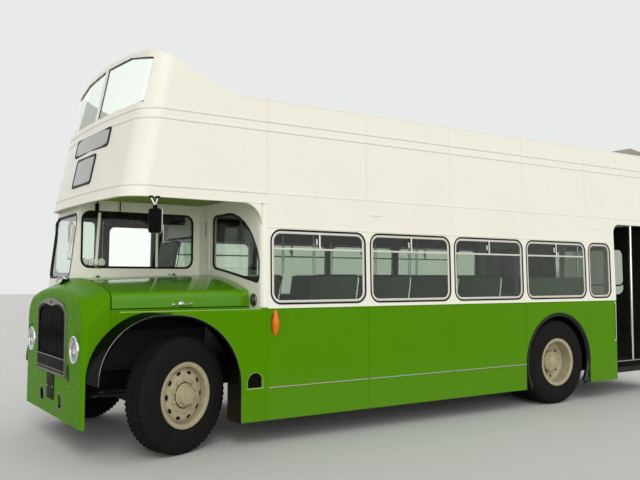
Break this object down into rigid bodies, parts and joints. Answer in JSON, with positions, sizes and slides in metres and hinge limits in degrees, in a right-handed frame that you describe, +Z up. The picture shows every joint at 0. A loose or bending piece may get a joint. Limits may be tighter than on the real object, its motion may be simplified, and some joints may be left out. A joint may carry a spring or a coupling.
{
  "type": "open-top double decker bus",
  "caption": "Half-cab double decker bus with an open top deck, an open rear platform, a bonnet beside the driver's cab and steered front wheels.",
  "frame": {"origin": "on the ground under the middle of the bounding box", "axes": "+X forwards, +Y to the nearside (left), +Z up"},
  "size_m": [8.2459, 2.6458, 3.61],
  "materials": {
    "alloy": "satin",
    "black_paint": "gloss paint",
    "cast_steel": "rough",
    "chassis_paint": "satin paint",
    "cream_paint": "gloss paint",
    "floor_lino": "ribbed",
    "green_paint": "gloss paint",
    "lamp_lens": "clear",
    "plate": "gloss",
    "seat_cloth": "woven moquette",
    "two_tone_paint": "gloss paint, cream over green",
    "tyre_rubber": "matt",
    "wheel_paint": "gloss paint",
    "window": "clear"
  },
  "bodies": {
    "bus": {"cab_floor": "floor_lino", "cab_shell": "cream_paint", "canopy": "cream_paint", "chassis_frame": "chassis_paint", "driver_seat": "seat_cloth", "engine_block": "cast_steel", "front_axle_beam": "cast_steel", "front_bulkhead": "cream_paint", "front_glass": "window", "front_screen_frame": "cream_paint", "front_sides": "green_paint", "fuel_tank": "chassis_paint", "gearbox_and_shaft": "cast_steel", "handrails": "alloy", "lamps": "lamp_lens", "leaf_springs": "cast_steel", "lower_sides": "two_tone_paint", "mirrors": "plate", "nose_cowl": "green_paint", "number_plate": "plate", "platform_partition": "cream_paint", "radiator_grille": "alloy", "rear_axle": "cast_steel", "rear_lower_body": "two_tone_paint", "rear_platform": "floor_lino", "saloon_floor": "floor_lino", "saloon_glass": "window", "saloon_seats": "seat_cloth", "stairs": "floor_lino", "steering_wheel": "plate", "upper_floor": "cream_paint", "upper_front": "cream_paint", "upper_rear": "cream_paint", "upper_seats": "seat_cloth", "upper_sides": "cream_paint", "window_frames": "alloy", "wings": "black_paint"},
    "cab_door": {"cab_door": "cream_paint"},
    "bonnet_lid": {"bonnet_lid": "green_paint"},
    "knuckle_near": {"knuckle_near": "cast_steel"},
    "knuckle_off": {"knuckle_off": "cast_steel"},
    "front_wheel_near": {"front_wheel_near": "wheel_paint", "front_tyre_near": "tyre_rubber"},
    "front_wheel_off": {"front_wheel_off": "wheel_paint", "front_tyre_off": "tyre_rubber"},
    "rear_wheels_near": {"rear_wheels_near": "wheel_paint", "rear_tyres_near": "tyre_rubber"},
    "rear_wheels_off": {"rear_wheels_off": "wheel_paint", "rear_tyres_off": "tyre_rubber"}
  },
  "joints": [
    {"name": "cab_door_hinge", "type": "hinge", "parent": "bus", "child": "cab_door", "pos_m": [3.28, -1.233, 1.7], "axis": [0, 0, 1], "range_deg": [0, 80]},
    {"name": "bonnet_hinge", "type": "hinge", "parent": "bus", "child": "bonnet_lid", "pos_m": [3.67, -0.136, 1.53038], "axis": [0.9996, 0, -0.0283], "range_deg": [0, 35]},
    {"name": "steer_near", "type": "hinge", "parent": "bus", "child": "knuckle_near", "pos_m": [3.37, 0.905, 0.505], "axis": [0, 0, 1], "range_deg": [-58, 18]},
    {"name": "steer_off", "type": "hinge", "parent": "bus", "child": "knuckle_off", "pos_m": [3.37, -0.905, 0.505], "axis": [0, 0, 1], "range_deg": [-58, 18]},
    {"name": "spin_front_near", "type": "hinge", "parent": "knuckle_near", "child": "front_wheel_near", "pos_m": [3.31357, 1.06005, 0.505], "axis": [-0.342, 0.9397, 0], "continuous": true},
    {"name": "spin_front_off", "type": "hinge", "parent": "knuckle_off", "child": "front_wheel_off", "pos_m": [3.42643, -1.06005, 0.505], "axis": [-0.342, 0.9397, 0], "continuous": true},
    {"name": "spin_rear_near", "type": "hinge", "parent": "bus", "child": "rear_wheels_near", "pos_m": [-1.608, 0.926, 0.505], "axis": [0, 1, 0], "continuous": true},
    {"name": "spin_rear_off", "type": "hinge", "parent": "bus", "child": "rear_wheels_off", "pos_m": [-1.608, -0.926, 0.505], "axis": [0, 1, 0], "continuous": true}
  ],
  "couplings": [
    {"joint": "steer_off", "follows": "steer_near", "ratio": 1}
  ]
}
